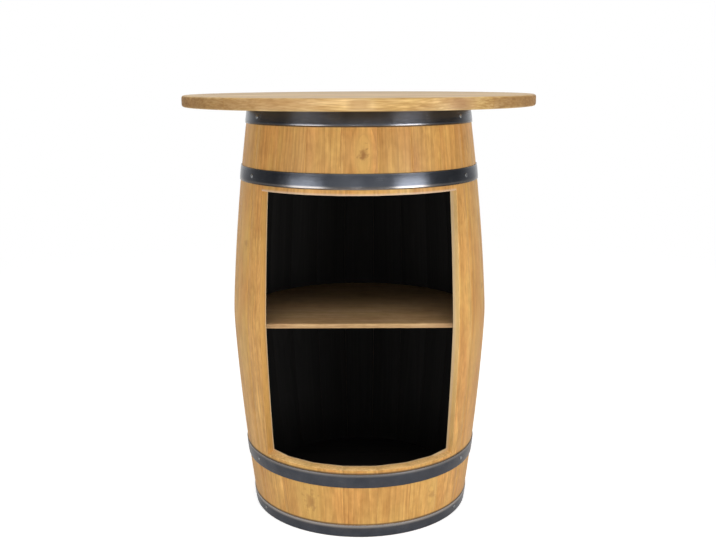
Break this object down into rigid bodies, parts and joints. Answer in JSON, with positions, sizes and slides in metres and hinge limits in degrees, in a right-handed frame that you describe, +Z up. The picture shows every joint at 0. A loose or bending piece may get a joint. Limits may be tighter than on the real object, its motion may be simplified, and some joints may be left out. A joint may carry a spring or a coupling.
{
  "type": "barrel bar cabinet",
  "caption": "Free-standing barrel of bevelled wooden staves under four steel hoops, open at the front with a shelf inside, under a round wooden table top.",
  "frame": {"origin": "on the floor under the barrel's axis, the middle of what the cabinet stands on", "axes": "+Z up along the barrel's axis, the open side faces -Y, +X to the right of someone who stands before it"},
  "size_m": [0.7, 0.7, 0.847],
  "materials": {
    "barrel_wood": "sanded and oiled softwood, satin",
    "batten_wood": "planed softwood, bare",
    "table_wood": "edge-glued softwood boards, satin oil",
    "shelf_wood": "sanded softwood, satin oil",
    "stained_wood": "stained black, matt",
    "hoop_steel": "dark grey, satin",
    "nail_steel": "dull steel"
  },
  "bodies": {
    "root": {"stave_back": "barrel_wood", "stave_left_3": "barrel_wood", "stave_left_4": "barrel_wood", "stave_left_5": "barrel_wood", "stave_left_6": "barrel_wood", "stave_left_7": "barrel_wood", "stave_left_8": "barrel_wood", "stave_left_9": "barrel_wood", "stave_left_10": "barrel_wood", "stave_right_3": "barrel_wood", "stave_right_4": "barrel_wood", "stave_right_5": "barrel_wood", "stave_right_6": "barrel_wood", "stave_right_7": "barrel_wood", "stave_right_8": "barrel_wood", "stave_right_9": "barrel_wood", "stave_right_10": "barrel_wood", "upper_stave_front": "barrel_wood", "upper_stave_left_1": "barrel_wood", "upper_stave_left_2": "barrel_wood", "upper_stave_right_1": "barrel_wood", "upper_stave_right_2": "barrel_wood", "lower_stave_front": "barrel_wood", "lower_stave_left_1": "barrel_wood", "lower_stave_left_2": "barrel_wood", "lower_stave_right_1": "barrel_wood", "lower_stave_right_2": "barrel_wood", "top_batten_left": "batten_wood", "top_batten_right": "batten_wood", "table_top": "table_wood", "shelf": "shelf_wood", "lower_head": "stained_wood", "upper_head": "stained_wood", "shelf_cleat_left": "stained_wood", "shelf_cleat_right": "stained_wood", "shelf_cleat_back": "stained_wood", "bottom_hoop": "hoop_steel", "lower_hoop": "hoop_steel", "upper_hoop": "hoop_steel", "top_hoop": "hoop_steel", "bottom_hoop_rivet_1": "nail_steel", "bottom_hoop_rivet_2": "nail_steel", "lower_hoop_rivet_1": "nail_steel", "lower_hoop_rivet_2": "nail_steel", "upper_hoop_rivet_1": "nail_steel", "upper_hoop_rivet_2": "nail_steel", "top_hoop_rivet_1": "nail_steel", "top_hoop_rivet_2": "nail_steel", "bottom_hoop_nail_left": "nail_steel", "bottom_hoop_nail_right": "nail_steel", "lower_hoop_nail_left": "nail_steel", "lower_hoop_nail_right": "nail_steel", "upper_hoop_nail_left": "nail_steel", "upper_hoop_nail_right": "nail_steel", "top_hoop_nail_left": "nail_steel", "top_hoop_nail_right": "nail_steel", "top_screw_1": "nail_steel", "top_screw_2": "nail_steel", "top_screw_3": "nail_steel", "top_screw_4": "nail_steel"}
  },
  "joints": []
}
